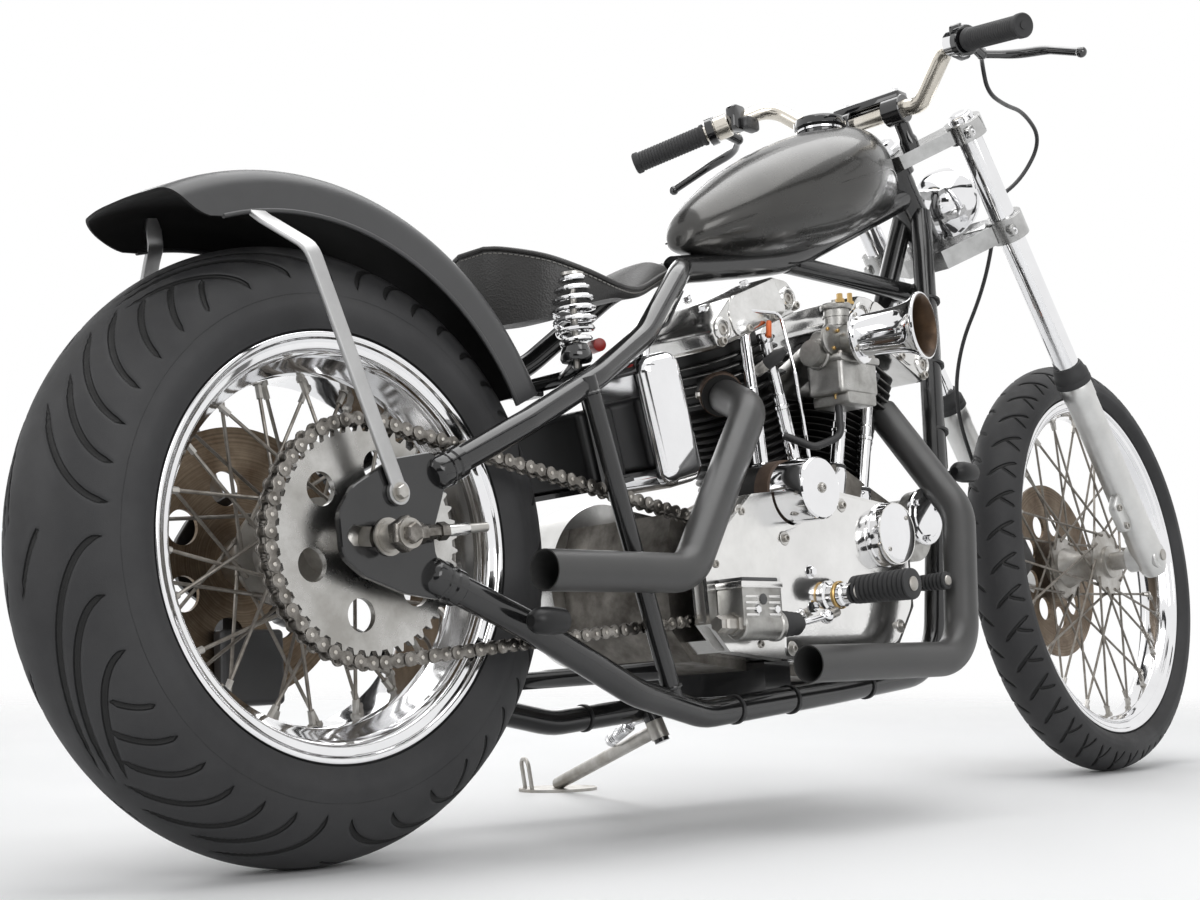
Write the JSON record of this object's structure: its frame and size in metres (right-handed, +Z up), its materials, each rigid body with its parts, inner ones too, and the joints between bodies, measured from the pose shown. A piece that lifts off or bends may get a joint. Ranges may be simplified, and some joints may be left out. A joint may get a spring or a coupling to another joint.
{
  "type": "chopper motorcycle",
  "caption": "Rigid-frame chopper motorcycle with a finned V-twin, wire wheels, a wide rear tyre, a raked fork and an open chain, leaning on its side stand.",
  "frame": {"origin": "on the floor at the centre of the footprint of the whole motorcycle's box", "axes": "+X forward, +Y to the rider's left, +Z up; the motorcycle leans about 5 degrees to its left on its side stand"},
  "size_m": [2.2841, 0.7338, 1.0912],
  "materials": {
    "tyre": "matt rubber",
    "chrome": "polished chrome",
    "steel": "worn bare steel",
    "black": "black paint",
    "alloy": "cast and polished",
    "iron": "black cast iron",
    "rubber": "ribbed rubber",
    "leather": "black stitched leather",
    "plastic": "black plastic"
  },
  "bodies": {
    "chassis": {"drive_chain": "steel", "cradle_left": "black", "cradle_right": "black", "backbone": "black", "rear_stay_left": "black", "rear_stay_right": "black", "seat_posts": "black", "axle_plate_left": "black", "axle_plate_right": "black", "rear_axle": "steel", "crankcase": "alloy", "cylinders": "iron", "cylinder_heads": "alloy", "rocker_boxes": "chrome", "cam_cover": "alloy", "primary_cover": "alloy", "engine_mounts": "black", "starter_motor": "chrome", "generator": "alloy", "pushrod_tubes": "chrome", "carburettor": "alloy", "velocity_stack": "chrome", "exhaust_pipes": "black", "oil_tank": "chrome", "battery_box": "plastic", "seat": "leather", "seat_springs": "chrome", "fuel_tank": "black", "fuel_cap": "chrome", "rear_fender": "black", "fender_struts": "steel", "foot_controls": "rubber", "brake_master": "alloy", "rear_caliper": "black", "indicators": "plastic"},
    "fork": {"triple_trees": "alloy", "fork_tubes": "chrome", "fork_sliders": "alloy", "dust_seals": "rubber", "front_axle": "steel", "handlebar": "steel", "grips": "rubber", "hand_levers": "plastic", "risers": "black", "headlamp": "plastic", "front_caliper": "iron", "brake_hose": "rubber"},
    "front_wheel": {"front_tyre": "tyre", "front_rim": "chrome", "front_hub": "steel", "front_disc": "steel"},
    "rear_wheel": {"rear_tyre": "tyre", "rear_rim": "chrome", "rear_hub": "steel", "rear_disc": "steel", "sprocket": "steel"},
    "stand": {"side_stand": "steel"}
  },
  "joints": [
    {"name": "steering", "type": "hinge", "parent": "chassis", "child": "fork", "pos_m": [0.76163, -0.05711, 0.3079], "axis": [-0.5736, 0.0714, 0.816], "range_deg": [-38, 31]},
    {"name": "front_spin", "type": "hinge", "parent": "fork", "child": "front_wheel", "pos_m": [0.80349, -0.05149, 0.33684], "axis": [-0.0491, 0.9914, -0.1213], "continuous": true},
    {"name": "rear_spin", "type": "hinge", "parent": "chassis", "child": "rear_wheel", "pos_m": [-0.82313, -0.0562, 0.31809], "axis": [0, 0.9962, -0.0872], "continuous": true},
    {"name": "stand_fold", "type": "hinge", "parent": "chassis", "child": "stand", "pos_m": [-0.18412, 0.02148, 0.10456], "axis": [-0.1444, 0.3931, 0.9081], "range_deg": [0, 114]}
  ]
}
